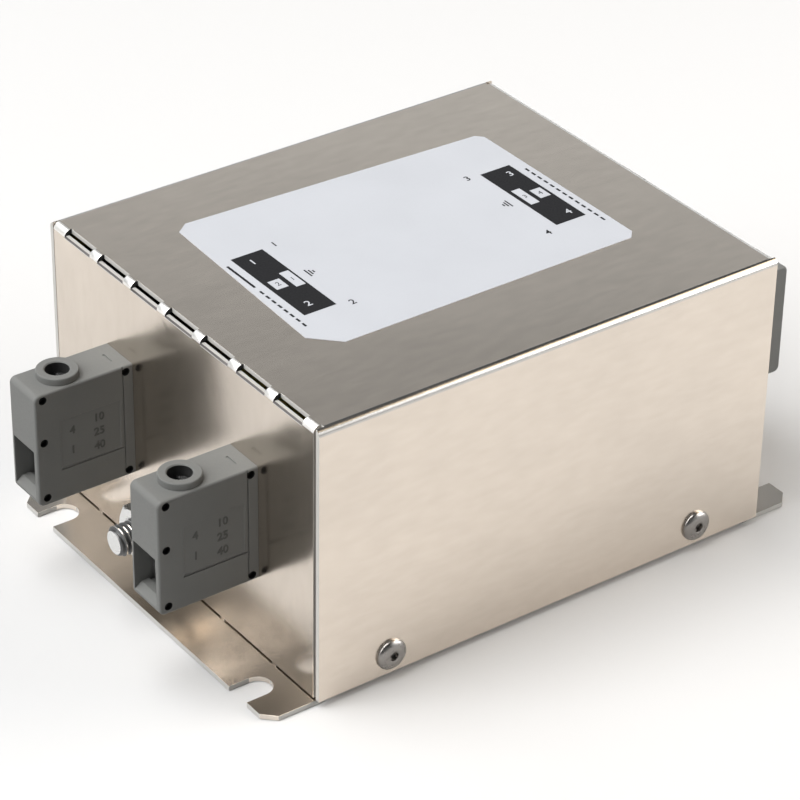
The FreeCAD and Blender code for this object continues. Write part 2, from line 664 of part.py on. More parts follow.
def winding_points():
    """The corners of one choke winding's path, on the right half of the core."""
    middle = (CORE_OUTER + CORE_INNER) / 2.0
    across = (CORE_OUTER - CORE_INNER) / 2.0 + WIRE_RADIUS + WINDING_GAP
    tall = CORE_HEIGHT / 2.0 + WIRE_RADIUS + WINDING_GAP
    c = WINDING_CORNER
    turn = [
        (across, tall - c), (across - c, tall), (-across + c, tall), (-across, tall - c),
        (-across, -tall + c), (-across + c, -tall), (across - c, -tall), (across, -tall + c),
    ]
    start = math.radians(-WINDING_ANGLE)
    end = math.radians(WINDING_ANGLE)
    count = len(turn) * TURNS + 4
    r = middle + across
    points = [V(r * math.cos(start), r * math.sin(start), SOLDER_Z)]
    for k in range(count):
        a = start + (end - start) * k / (count - 1.0)
        r = middle + turn[k % len(turn)][0]
        points.append(V(r * math.cos(a), r * math.sin(a), CHOKE_Z + turn[k % len(turn)][1]))
    r = middle - across
    points.append(V(r * math.cos(end), r * math.sin(end), SOLDER_Z))
    return points


def make_winding():
    points = winding_points()
    path = Part.makePolygon(points)
    circle = Part.Circle(points[0], points[1] - points[0], WIRE_RADIUS)
    # The last number asks for round corners.
    return path.makePipeShell([Part.Wire([circle.toShape()])], True, False, 2)


def make_core():
    low = CHOKE_Z - CORE_HEIGHT / 2.0
    outer = rod((0, 0, low), (0, 0, 1), CORE_OUTER, CORE_HEIGHT)
    core = outer.cut(rod((0, 0, low - OVER), (0, 0, 1), CORE_INNER, CORE_HEIGHT + 2 * OVER))
    return core.makeFillet(CORE_ROUND, [e for e in core.Edges if e.Closed])


def make_divider():
    """The insulating plate between the two windings, standing in the core's bore."""
    t = DIVIDER_THICKNESS / 2.0
    r = CORE_INNER - DIVIDER_GAP
    plate = box(-t, t, -r, r, BOARD_HIGH, CHOKE_Z + CORE_HEIGHT / 2.0 + DIVIDER_RISE)
    x, y = DIVIDER_FOOT
    foot = box(-x, x, -y, y, BOARD_HIGH, BOARD_HIGH + DIVIDER_FOOT_HEIGHT)
    return join([plate, foot])


def make_line_capacitor():
    """The box capacitor across the line, at the front, between the choke and the leads."""
    w = LINE_CAPACITOR_HALF_WIDTH
    y0 = CAPACITOR_OUTER_Y
    y1 = LINE_CAPACITOR_INNER_Y
    low = BOARD_HIGH + STAND_OFF
    body = box(-w, w, y0, y1, low, LINE_CAPACITOR_HIGH)
    body = body.makeFillet(CASE_ROUND, [e for e in body.Edges if e.CenterOfMass.z > low + 0.1])
    legs = []
    for x in (-LINE_CAPACITOR_LEG_X, LINE_CAPACITOR_LEG_X):
        legs.append(rod((x, LINE_CAPACITOR_Y, SOLDER_Z), (0, 0, 1), LEG_RADIUS, LEG_LENGTH))
    feet = []
    for x in (-FOOT_X, FOOT_X):
        x0 = x - FOOT_HALF_WIDTH
        x1 = x + FOOT_HALF_WIDTH
        feet.append(box(x0, x1, y0 + FOOT_INSET, y1 - FOOT_INSET, BOARD_HIGH, low + STAND_OFF))
    return join([body] + legs + feet)


def earth_capacitor_legs():
    first = CAPACITOR_OUTER_Y + EARTH_CAPACITOR_LEG
    return (first, first + EARTH_CAPACITOR_LENGTH - 2 * EARTH_CAPACITOR_LEG)


def make_earth_capacitor():
    x = EARTH_CAPACITOR_X
    w = EARTH_CAPACITOR_HALF_WIDTH
    y0 = CAPACITOR_OUTER_Y
    low = BOARD_HIGH + STAND_OFF
    body = box(x - w, x + w, y0, y0 + EARTH_CAPACITOR_LENGTH, low, EARTH_CAPACITOR_HIGH)
    body = body.makeFillet(CASE_ROUND * 0.75, [e for e in body.Edges if e.CenterOfMass.z > low + 0.1])
    legs = [rod((x, y, SOLDER_Z), (0, 0, 1), THIN_LEG_RADIUS, LEG_LENGTH) for y in earth_capacitor_legs()]
    return join([body] + legs)


def make_resistor():
    x = RESISTOR_X
    z = BOARD_HIGH + RESISTOR_RISE
    body = rod((x, -RESISTOR_LENGTH / 2.0, z), (0, 1, 0), RESISTOR_RADIUS, RESISTOR_LENGTH)
    body = body.makeFillet(RESISTOR_RADIUS * 0.3, [e for e in body.Edges if e.Closed])
    y = RESISTOR_SPAN / 2.0
    lead = pipe([(x, -y, SOLDER_Z), (x, -y, z), (x, y, z), (x, y, SOLDER_Z)], THIN_LEG_RADIUS)
    return join([body, lead])


def make_board():
    w = BOARD_HALF_WIDTH
    e = BOARD_HALF_LENGTH
    board = box(-w, w, -e, e, BOARD_LOW, BOARD_HIGH)
    holes = []
    for x in (-POST_X, POST_X):
        for y in (-POST_Y, POST_Y):
            holes.append((x, y, PEG_RADIUS + PEG_PLAY))
    y = RESISTOR_SPAN / 2.0
    holes += [(RESISTOR_X, -y, THIN_LEG_RADIUS), (RESISTOR_X, y, THIN_LEG_RADIUS)]
    # Each of these holes has a partner at the other end.
    front = []
    for x in (-LINE_CAPACITOR_LEG_X, LINE_CAPACITOR_LEG_X):
        front.append((x, LINE_CAPACITOR_Y, LEG_RADIUS))
    for y in earth_capacitor_legs():
        front += [(-EARTH_CAPACITOR_X, y, THIN_LEG_RADIUS), (EARTH_CAPACITOR_X, y, THIN_LEG_RADIUS)]
    for x in (-TERMINAL_X, TERMINAL_X):
        front.append((x + ENTRY_MIDDLE, TAG_Y, LEAD_RADIUS))
    for point in (winding_points()[0], winding_points()[-1]):
        front.append((point.x, point.y, WIRE_RADIUS))
    front.append((EARTH_WIRE_X, EARTH_WIRE_Y, EARTH_WIRE_RADIUS))
    holes += front + [(-x, -y, r) for x, y, r in front]
    height = BOARD_HIGH - BOARD_LOW + 2 * OVER
    return board.cut([rod((x, y, BOARD_LOW - OVER), (0, 0, 1), r, height) for x, y, r in holes])


def make_line_lead():
    return rod((ENTRY_MIDDLE, TAG_Y, SOLDER_Z), (0, 0, 1), LEAD_RADIUS, BAR_HIGH + OVER - SOLDER_Z)


os.makedirs("parts", exist_ok=True)

save("base_plate", make_base())
save("cover", make_cover())
save("rating_label", outline([(x, y, CASE_HEIGHT) for x, y in LABEL], (0, 0, LABEL_THICKNESS)))
save("side_rivets", [make_rivet(s, y) for s in (-1, 1) for y in (-RIVET_Y, RIVET_Y)])

PLACES = ("front_left", "front_right", "rear_left", "rear_right")
for place, shape in zip(PLACES, at_terminals(make_housing())):
    save("terminal_housing_" + place, shape)
for place, shape in zip(PLACES, at_terminals(make_cage())):
    save("clamp_cage_" + place, shape)
for place, shape in zip(PLACES, at_terminals(make_bar())):
    save("current_bar_" + place, shape)
save("terminal_screws", at_terminals(make_terminal_screw()))
save("terminal_retainers", at_terminals(make_retainer()))

for name, shape in (
    ("earth_screws", make_earth_screw()),
    ("earth_nuts", make_earth_nut()),
    ("toothed_washers", make_toothed_washer()),
    ("spring_washers", make_spring_washer()),
    ("earth_lugs", make_earth_lug()),
    ("earth_wires", make_earth_wire()),
):
    save(name, [shape, turned(shape)])

washers = make_plain_washers()
save("plain_washers", washers + [turned(washer) for washer in washers])
save("insulating_tray", make_tray())
save("circuit_board", make_board())
save("choke_core", make_core())
winding = make_winding()
save("choke_winding_right", winding)
save("choke_winding_left", turned(winding))
save("choke_divider", make_divider())
capacitor = make_line_capacitor()
save("line_capacitor_front", capacitor)
save("line_capacitor_rear", turned(capacitor))
small = make_earth_capacitor()
save("earth_capacitors", [small, mirrored_x(small), turned(small), turned(mirrored_x(small))])
save("discharge_resistor", make_resistor())
save("line_leads", at_terminals(make_line_lead()))
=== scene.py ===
import math

import bmesh
import bpy
from mathutils import Matrix, Vector


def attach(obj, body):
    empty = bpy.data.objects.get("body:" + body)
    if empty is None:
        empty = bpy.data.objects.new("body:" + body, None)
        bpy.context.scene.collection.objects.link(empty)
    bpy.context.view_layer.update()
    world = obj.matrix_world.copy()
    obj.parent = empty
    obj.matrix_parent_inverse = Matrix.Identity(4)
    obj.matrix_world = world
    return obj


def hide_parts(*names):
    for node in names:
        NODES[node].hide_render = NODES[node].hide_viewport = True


# Line filter with screw terminals. Meshes, lights and camera are in metres, in the frame of the
# model: X across the width, Y from the front terminals to the rear ones, Z up. The named sizes
# of the part are in millimetres. U is the distance outwards from the front panel.

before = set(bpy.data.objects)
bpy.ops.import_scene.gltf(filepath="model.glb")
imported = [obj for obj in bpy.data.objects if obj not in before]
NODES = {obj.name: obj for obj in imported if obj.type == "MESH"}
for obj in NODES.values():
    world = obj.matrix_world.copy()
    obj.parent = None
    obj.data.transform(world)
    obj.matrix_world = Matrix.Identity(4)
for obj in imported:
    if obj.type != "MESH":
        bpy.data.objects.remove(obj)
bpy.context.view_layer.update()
MM = 0.001

FACE = -50.7  # outer face of the front panel
TOP = 58.0
SHEET = 1.0
FOLD_CUT = 1.6  # how far the slots reach down from the top
BURR = 0.5
ROLLED_RIM = 0.28
FINE_EDGE = 0.05
SOFT_EDGE = 0.08
PLACES = ("front_left", "front_right", "rear_left", "rear_right")

SAME_PLACE = 2e-7  # metres, as the next one
ON_PLANE = 1e-7
FLAT = math.radians(0.4)
SHARP = math.radians(28.0)
SMOOTH = math.radians(35.0)
SQUARE_ON = 0.9995  # a normal along an axis


# Materials

GRAIN_LINES = (9000.0, 90.0, 1.0)
GRAIN_PATCHES = (60.0, 25.0, 1.0)
GRAIN_MOTTLE = (520.0, 170.0, 1.0)
EVEN = (1.0, 1.0, 1.0)
GRAIN_STRENGTH = 0.12
GRAIN_DEPTH = 0.00002
PLATING_STRENGTH = 0.06
MOULD_DEPTH = 0.00003
SPECKLE = 0.05


def new_material(name):
    material = bpy.data.materials.new(name)
    material.use_nodes = True
    tree = material.node_tree
    shader = tree.nodes["Principled BSDF"]
    return material, tree, shader


def add_node(tree, kind, **values):
    node = tree.nodes.new(kind)
    for key, value in values.items():
        setattr(node, key, value)
    return node


def noise(tree, scale, stretch=EVEN, detail=3.0, uv_name=None):
    """A noise texture in object coordinates, or in the piece's own UV map. Gives its value."""
    if uv_name:
        place = add_node(tree, "ShaderNodeUVMap", uv_map=uv_name).outputs["UV"]
    else:
        place = add_node(tree, "ShaderNodeTexCoord").outputs["Object"]
    mapping = add_node(tree, "ShaderNodeMapping")
    mapping.inputs["Scale"].default_value = stretch
    tree.links.new(place, mapping.inputs["Vector"])
    texture = add_node(tree, "ShaderNodeTexNoise")
    texture.inputs["Scale"].default_value = scale
    texture.inputs["Detail"].default_value = detail
    texture.inputs["Roughness"].default_value = 0.55
    tree.links.new(mapping.outputs["Vector"], texture.inputs["Vector"])
    return texture.outputs["Fac"]


def spread(tree, socket, low, high, from_low=0.3, from_high=0.7):
    remap = add_node(tree, "ShaderNodeMapRange")
    remap.inputs["From Min"].default_value = from_low
    remap.inputs["From Max"].default_value = from_high
    remap.inputs["To Min"].default_value = low
    remap.inputs["To Max"].default_value = high
    tree.links.new(socket, remap.inputs["Value"])
    return remap.outputs["Result"]


def joined(tree, operation, first, second):
    node = add_node(tree, "ShaderNodeMath", operation=operation)
    tree.links.new(first, node.inputs[0])
    tree.links.new(second, node.inputs[1])
    return node.outputs["Value"]


def two_tones(tree, socket, colour, darker, lighter):
    mix = add_node(tree, "ShaderNodeMix", data_type="RGBA")
    mix.inputs["A"].default_value = (*[c * darker for c in colour], 1.0)
    mix.inputs["B"].default_value = (*[c * lighter for c in colour], 1.0)
    tree.links.new(socket, mix.inputs["Factor"])
    return mix.outputs["Result"]


def bump(tree, socket, strength, distance):
    node = add_node(tree, "ShaderNodeBump")
    node.inputs["Strength"].default_value = strength
    node.inputs["Distance"].default_value = distance
    tree.links.new(socket, node.inputs["Height"])
    return node.outputs["Normal"]


def connect(tree, shader, colour, roughness, normal):
    tree.links.new(colour, shader.inputs["Base Color"])
    tree.links.new(roughness, shader.inputs["Roughness"])
    tree.links.new(normal, shader.inputs["Normal"])


def sheet_metal(name, colour, roughness):
    """Rolled sheet. The grain runs along V of the piece's own UV map, which is in metres."""
    material, tree, shader = new_material(name)
    lines = noise(tree, 1.0, GRAIN_LINES, 2.0, uv_name="grain")
    patches = noise(tree, 1.0, GRAIN_PATCHES, 3.0, uv_name="grain")
    mottle = noise(tree, 1.0, GRAIN_MOTTLE, 4.0, uv_name="grain")
    tone = spread(tree, joined(tree, "ADD", patches, mottle), 0.0, 1.0, 0.75, 1.25)
    connect(
        tree, shader,
        two_tones(tree, tone, colour, 0.95, 1.04),
        spread(tree, patches, roughness * 0.93, roughness * 1.08),
        bump(tree, lines, GRAIN_STRENGTH, GRAIN_DEPTH),
    )
    shader.inputs["Metallic"].default_value = 1.0
    return material


def plated(name, colour, roughness):
    """Plated steel or bare copper of small pieces."""
    material, tree, shader = new_material(name)
    fine = noise(tree, 900.0)
    connect(
        tree, shader,
        two_tones(tree, fine, colour, 1.0 - SPECKLE, 1.0 + SPECKLE),
        spread(tree, fine, roughness * 0.85, roughness * 1.2),
        bump(tree, fine, PLATING_STRENGTH, GRAIN_DEPTH),
    )
    shader.inputs["Metallic"].default_value = 1.0
    return material


def moulded(name, colour, roughness, texture=0.1, gloss=0.5):
    """Moulded plastic, paint, lacquer or paper: a fine texture and faint changes in tone."""
    material, tree, shader = new_material(name)
    fine = noise(tree, 2500.0, detail=2.0)
    wide = noise(tree, 70.0, detail=2.0)
    connect(
        tree, shader,
        two_tones(tree, wide, colour, 0.94, 1.05),
        spread(tree, fine, roughness * 0.9, roughness * 1.12),
        bump(tree, fine, texture, MOULD_DEPTH),
    )
    shader.inputs["Specular IOR Level"].default_value = gloss
    return material


MATERIALS = {
    "cover_steel": sheet_metal("cover_steel_finish", (0.745, 0.665, 0.58), 0.21),
    "base_steel": sheet_metal("base_steel_finish", (0.725, 0.66, 0.585), 0.22),
    "label_film": moulded("label_film_finish", (0.325, 0.335, 0.358), 0.38, 0.02),
    "rivet_steel": plated("rivet_steel_finish", (0.30, 0.285, 0.27), 0.30),
    "terminal_plastic": moulded(
        "terminal_plastic_finish", (0.116, 0.117, 0.112), 0.55, 0.12, gloss=0.18,
    ),
    "zinc_steel": plated("zinc_steel_finish", (0.78, 0.78, 0.77), 0.24),
    "bar_copper": plated("bar_copper_finish", (0.78, 0.74, 0.66), 0.25),
    "retainer_plastic": moulded("retainer_plastic_finish", (0.05, 0.05, 0.052), 0.45),
    "tinned_copper": plated("tinned_copper_finish", (0.70, 0.70, 0.69), 0.32),
    "wire_sleeve": moulded("wire_sleeve_finish", (0.20, 0.42, 0.06), 0.4),
    "line_sleeve": moulded("line_sleeve_finish", (0.55, 0.56, 0.56), 0.4),
    "tray_plastic": moulded("tray_plastic_finish", (0.55, 0.54, 0.50), 0.45),
    "board_laminate": moulded("board_laminate_finish", (0.34, 0.22, 0.08), 0.5),
    "core_coating": moulded("core_coating_finish", (0.05, 0.12, 0.09), 0.4),
    "enamelled_copper": plated("enamelled_copper_finish", (0.62, 0.25, 0.10), 0.22),
    "capacitor_case": moulded("capacitor_case_finish", (0.62, 0.50, 0.10), 0.45),
    "small_capacitor_case": moulded("small_capacitor_case_finish", (0.10, 0.20, 0.42), 0.4),
    "resistor_coating": moulded("resistor_coating_finish", (0.55, 0.45, 0.32), 0.4),
}
# Dark copy of the plated steel for the thread's flanks and roots: painted shade in the grooves.
GROOVE_PAINTED_SHADE = plated("thread_groove_painted_shade", (0.13, 0.13, 0.13), 0.45)
# A darker copy of the housing's plastic for the moulded numbers: painted shade standing in for
# their relief.
MOULDED_MARK_PAINTED_SHADE = moulded("moulded_mark_painted_shade", (0.060, 0.061, 0.058), 0.5, gloss=0.2)
# Near black for the insides of the pin holes and the screwdriver's hole: painted shade, not the
# plastic's own colour.
HOLE_PAINTED_SHADE = moulded("terminal_hole_painted_shade", (0.012, 0.012, 0.012), 0.6, gloss=0.1)
PRINT = moulded("label_print", (0.008, 0.008, 0.009), 0.5, 0.02, gloss=0.12)

# The finishes, painted highlight and painted shade on a sheet piece that follow its own, and
# their places in its list
SHEET_FINISHES_AND_PAINTED_LIGHT = (
    moulded("cut_edge", (0.36, 0.35, 0.33), 0.45, 0.2),
    # Lighter copy of the sheet's finish for the front and rear bends: a painted highlight.
    sheet_metal("bend_painted_highlight", (0.90, 0.88, 0.85), 0.36),
    # Dark plated copy for the rolled rims in the fold's slots: a painted dark reflection.
    plated("rolled_edge_painted_reflection", (0.13, 0.12, 0.12), 0.45),
    # Near black for the slots' small end faces that face +X: painted shade.
    moulded("tab_end_painted_shade", (0.03, 0.03, 0.03), 0.6, gloss=0.1),
    # Darker copy of the sheet's finish for the bends along the sides: painted shade that holds
    # back their highlight.
    sheet_metal("side_bend_painted_shade", (0.56, 0.545, 0.52), 0.22),
)
PLAIN, CUT_EDGE, BEND_PAINTED_HIGHLIGHT, ROLLED_EDGE_PAINTED_DARK, TAB_END_PAINTED_SHADE, SIDE_BEND_PAINTED_SHADE = range(6)


# Helpers for the meshes

def raw_copy(name):
    """A CAD node's mesh as loose triangles."""
    node = NODES[name]
    bm = bmesh.new()
    bm.from_mesh(node.data)
    bm.transform(node.matrix_world)
    return bm


def merge(bm):
    """Joins loose triangles, with flat regions as single faces."""
    bmesh.ops.remove_doubles(bm, verts=bm.verts, dist=SAME_PLACE)
    bmesh.ops.dissolve_limit(bm, angle_limit=FLAT, verts=bm.verts, edges=bm.edges)
    bmesh.ops.recalc_face_normals(bm, faces=bm.faces)


def copied(name):
    bm = raw_copy(name)
    merge(bm)
    return bm


def bevel(bm, edges, width, material=-1):
    bmesh.ops.bevel(
        bm, geom=edges, offset=width * MM, offset_type="OFFSET", segments=2,
        profile=0.5, affect="EDGES", clamp_overlap=False, material=material,
    )


def ease(bm, width):
    """Takes the sharp edges off a piece."""
    edges = [e for e in bm.edges if len(e.link_faces) == 2 and e.is_convex]
    bevel(bm, [e for e in edges if e.calc_face_angle(0.0) > SHARP], width)


def slice_through(bm, faces, place, normal):
    """Cuts along a plane without taking anything away."""
    faces = list(faces)
    edges = dict.fromkeys(e for f in faces for e in f.edges)
    verts = dict.fromkeys(v for f in faces for v in f.verts)
    bmesh.ops.bisect_plane(
        bm, geom=[*verts, *edges, *faces], dist=ON_PLANE,
        plane_co=Vector(place) * MM, plane_no=normal,
    )


def cut_off(bm, place, normal):
    """Takes away what lies on the normal's side of a plane, and closes the cut."""
    cut = bmesh.ops.bisect_plane(
        bm, geom=bm.verts[:] + bm.edges[:] + bm.faces[:], dist=ON_PLANE,
        plane_co=Vector(place) * MM, plane_no=normal, clear_outer=True,
    )
    rim = [part for part in cut["geom_cut"] if isinstance(part, bmesh.types.BMEdge)]
    bmesh.ops.holes_fill(bm, edges=rim, sides=0)


def grain_map(bm):
    """A UV map in metres, with V along the rolled sheet's grain."""
    side_shift = 0.2  # keeps the sides' grain apart from the top's
    layer = bm.loops.layers.uv.new("grain")
    for face in bm.faces:
        n = face.normal
        end = abs(n.y) > 0.7
        side = abs(n.x) > abs(n.z)
        for loop in face.loops:
            c = loop.vert.co
            if end:
                loop[layer].uv = (c.x, c.z)
            elif side:
                loop[layer].uv = (c.z + side_shift, c.y)
            else:
                loop[layer].uv = (c.x, c.y)


def finish(bm, name, slot, nodes=(), materials=None):
    """Turns a bmesh into a shaded piece that takes the place of the named CAD nodes."""
    for face in bm.faces:
        face.smooth = True
    for edge in bm.edges:
        edge.smooth = len(edge.link_faces) != 2 or edge.calc_face_angle(0.0) < SMOOTH
    mesh = bpy.data.meshes.new(name)
    bm.to_mesh(mesh)
    bm.free()
    piece = bpy.data.objects.new(name, mesh)
    bpy.context.scene.collection.objects.link(piece)
    for material in materials or [MATERIALS[slot]]:
        mesh.materials.append(material)
    weigh = piece.modifiers.new("even_shading", "WEIGHTED_NORMAL")
    weigh.keep_sharp = True
    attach(piece, "root")
    if nodes:
        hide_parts(*nodes)


def dressed(node, name, slot, width):
    """A CAD node's own shape with its sharp edges taken off."""
    bm = copied(node)
    ease(bm, width)
    finish(bm, name, slot, [node])


# The case and its rivets

NARROW = 0.52  # a cut face's area over its outline is below this
TAB_END_AREA = 4e-6  # square metres


def fold_burrs(bm):
    """The front panel's edge stands up a little in each slot of the fold, with a rolled rim. The
    rim is painted dark, a painted reflection.
    """
    ledges = []
    for face in bm.faces:
        centre = face.calc_center_median() / MM
        low = face.normal.z > 0.99 and abs(centre.z - TOP + FOLD_CUT) < 0.01
        if low and abs(centre.y - FACE - SHEET / 2) < 0.1:
            ledges.append(face)
    raised = bmesh.ops.extrude_discrete_faces(bm, faces=ledges)["faces"]
    for face in raised:
        for vert in face.verts:
            vert.co.z += BURR * MM
    outer = (FACE + 0.01) * MM
    edges = dict.fromkeys(e for f in raised for e in f.edges)
    rims = [e for e in edges if all(v.co.y < outer for v in e.verts)]
    bevel(bm, rims, ROLLED_RIM, ROLLED_EDGE_PAINTED_DARK)


def sheet_finish_and_painted_light(face):
    """Front and rear bends take a lighter copy of the sheet, a painted highlight, and side bends
    a darker one, painted shade. The slots' small end faces are painted near black as shade, and
    the narrow cut faces are rough.
    """
    n = face.normal
    flat = max(abs(c) for c in n) > SQUARE_ON
    if not flat and n.z > 0.05:
        return BEND_PAINTED_HIGHLIGHT if abs(n.x) < 0.02 else SIDE_BEND_PAINTED_SHADE
    in_slot = face.calc_center_median().z > (TOP - FOLD_CUT - 0.1) * MM
    if n.x > SQUARE_ON and in_slot and face.calc_area() < TAB_END_AREA:
        return TAB_END_PAINTED_SHADE
    if flat and n.z > -0.5 and face.calc_area() / face.calc_perimeter() < NARROW * MM:
        return CUT_EDGE
    return PLAIN


def folded_sheet(node, name, slot, burrs=False):
    bm = copied(node)
    if burrs:
        fold_burrs(bm)
    # Each face takes its finish, a painted highlight or painted shade.
    for face in bm.faces:
        if face.material_index != ROLLED_EDGE_PAINTED_DARK:
            face.material_index = sheet_finish_and_painted_light(face)
    ease(bm, FINE_EDGE)
    grain_map(bm)
    finish(bm, name, slot, [node], materials=[MATERIALS[slot], *SHEET_FINISHES_AND_PAINTED_LIGHT])


folded_sheet("base_plate", "base", "base_steel")
folded_sheet("cover", "case_cover", "cover_steel", burrs=True)
dressed("side_rivets", "rivets", "rivet_steel", FINE_EDGE)


# The label

LABEL_TOP = 58.10
INK_MIDDLE = LABEL_TOP + 0.008
INK_HALF_DEPTH = 0.007

# Left, right, front and rear edges
BARS = ((-12.4, 11.2, -31.5, -24.6), (-12.5, 10.9, 25.1, 32.0))
FIELDS = (
    (-3.5, 2.2, -27.0, -25.0), (-2.0, 1.2, -30.5, -28.0),
    (-2.3, 1.2, 29.0, 31.4), (-4.1, 2.15, 26.0, 28.0),
)

# A rule or a number, its X and Y, its length or height, and its width or added weight
DASH_X = [-9.0 + 1.9 * k for k in range(13)]
DARK_MARKS = (
    ("rule", -6.2, -33.3, 9.0, 0.5),
    *[("rule", x, -33.3, 1.2, 0.45) for x in DASH_X[5:]],
    *[("rule", x, 33.7, 1.2, 0.45) for x in DASH_X],
    ("1", -12.6, -21.8, 2.3, 0.03), ("2", 12.2, -21.8, 2.3, 0.03),
    ("3", -12.6, 22.2, 2.3, 0.03), ("4", 12.2, 22.2, 2.3, 0.03),
    ("rule", -0.6, -22.6, 2.6, 0.3), ("rule", -0.6, -22.0, 1.7, 0.3),
    ("rule", -0.6, -21.4, 0.8, 0.3), ("rule", -0.6, 21.6, 0.8, 0.3),
    ("rule", -0.6, 22.2, 1.7, 0.3), ("rule", -0.6, 22.8, 2.6, 0.3),
    ("1", -0.5, -26.0, 1.6, 0.0), ("2", -0.4, -29.2, 1.8, 0.0),
    ("4", -0.5, 30.2, 1.8, 0.0), ("3", -1.0, 27.0, 1.6, 0.0),
)
LIGHT_MARKS = (
    ("1", -9.4, -28.6, 2.4, 0.03), ("2", 8.2, -28.6, 2.4, 0.03),
    ("3", -9.6, 30.1, 2.4, 0.03), ("4", 8.1, 30.1, 2.4, 0.03),
)


def inside(place, areas):
    return any(x0 < place.x / MM < x1 and y0 < place.y / MM < y1 for x0, x1, y0, y1 in areas)


def printed_label():
    """The label's film with two printed bars. The print lies in the film's own surface."""
    bm = copied("rating_label")
    for vert in bm.verts:
        if vert.co.z > LABEL_TOP * MM:
            vert.co.z = LABEL_TOP * MM
    for x0, x1, y0, y1 in BARS + FIELDS:
        for x in (x0, x1):
            slice_through(bm, bm.faces, (x, 0, 0), (1, 0, 0))
        for y in (y0, y1):
            slice_through(bm, bm.faces, (0, y, 0), (0, 1, 0))
    for face in bm.faces:
        centre = face.calc_center_median()
        if face.normal.z > 0.9 and inside(centre, BARS) and not inside(centre, FIELDS):
            face.material_index = 1
    materials = [MATERIALS["label_film"], PRINT]
    finish(bm, "label", "label_film", ["rating_label"], materials=materials)


def figure_mesh(text, height, half_depth, weight):
    """A plain number as a thin plate around the origin, in the XY plane."""
    curve = bpy.data.curves.new("mark", "FONT")
    curve.body = text
    curve.size = height * MM
    curve.extrude = half_depth * MM
    curve.offset = weight * MM
    curve.resolution_u = 3
    curve.align_x = "CENTER"
    curve.align_y = "CENTER"
    figure = bpy.data.objects.new("mark", curve)
    mesh = bpy.data.meshes.new_from_object(figure)
    bpy.data.objects.remove(figure)
    bpy.data.curves.remove(curve)
    bm = bmesh.new()
    bm.from_mesh(mesh)
    bmesh.ops.remove_doubles(bm, verts=bm.verts, dist=1e-6)
    bmesh.ops.recalc_face_normals(bm, faces=bm.faces)
    bm.to_mesh(mesh)
    bm.free()
    return mesh


def printed_marks(name, marks, material):
    """Plain numbers and short rules, as a thin layer of ink on the label."""
    bm = bmesh.new()
    for kind, x, y, size, weight in marks:
        place = Matrix.Translation(Vector((x, y, INK_MIDDLE)) * MM)
        if kind == "rule":
            box = Matrix.Diagonal((size * MM, weight * MM, 2 * INK_HALF_DEPTH * MM, 1.0))
            bmesh.ops.create_cube(bm, size=1.0, matrix=place @ box)
        else:
            figure = figure_mesh(kind, size, INK_HALF_DEPTH, weight)
            figure.transform(place @ Matrix.Rotation(math.pi / 2, 4, "Z"))
            bm.from_mesh(figure)
            bpy.data.meshes.remove(figure)
    bmesh.ops.remove_doubles(bm, verts=bm.verts, dist=SAME_PLACE)
    finish(bm, name, "label_film", materials=[material])


printed_label()
printed_marks("label_ink", DARK_MARKS, PRINT)
printed_marks("label_light_marks", LIGHT_MARKS, MATERIALS["label_film"])


# Terminals

TERMINAL_X = 20.4
PANEL = (2.9, 15.5, 24.1, 34.3)  # near and far from the case, low and high
PANEL_RIM = 0.12
PANEL_SINK = 0.09
PIN_HOLES = ((18.9, 39.75), (19.0, 30.75), (18.85, 18.9), (1.45, 39.75), (1.35, 18.5))
PIN_HOLE_RADIUS = 0.80
DRIVER_HOLE_U = 13.1
DRIVER_HOLE_RADIUS = 2.30
DRIVER_HOLE_LOW = 34.0
NUMBERS = (
    ("4", 13.0, 31.4), ("1", 13.0, 27.2),
    ("10", 7.4, 32.2), ("25", 7.4, 29.2), ("40", 7.4, 26.2),
)
NUMBER_HEIGHT = 2.3
NUMBER_HALF_DEPTH = 0.06
NUMBER_WEIGHT = 0.05
NUMBER_SINK = 0.08
SIDE_REACH = 1e-5  # metres


def side_faces(bm, end, wall):
    """The faces in the plane of the housing's marked side."""
    faces = [f for f in bm.faces if end * f.normal.x > 0.999]
    return [f for f in faces if abs(end * f.calc_center_median().x - wall) < SIDE_REACH]


def sunk_panel(bm, end, wall):
    near, far, low, high = PANEL
    for u in (near, far):
        slice_through(bm, side_faces(bm, end, wall), (0, end * (FACE - u), 0), (0, 1, 0))
    for z in (low, high):
        slice_through(bm, side_faces(bm, end, wall), (0, 0, z), (0, 0, 1))
    panel = []
    for face in side_faces(bm, end, wall):
        centre = face.calc_center_median()
        u = FACE - end * centre.y / MM
        if near < u < far and low < centre.z / MM < high:
            panel.append(face)
    bmesh.ops.inset_region(bm, faces=panel, thickness=PANEL_RIM * MM, depth=-PANEL_SINK * MM)


def in_hole(points):
    """Whether a face lies in a pin hole or in the screwdriver's hole."""
    for pin_u, pin_z in PIN_HOLES:
        if all(math.hypot(u - pin_u, z - pin_z) < PIN_HOLE_RADIUS for _, u, z in points):
            return True
    return all(
        math.hypot(x, u - DRIVER_HOLE_U) < DRIVER_HOLE_RADIUS and z > DRIVER_HOLE_LOW
        for x, u, z in points
    )


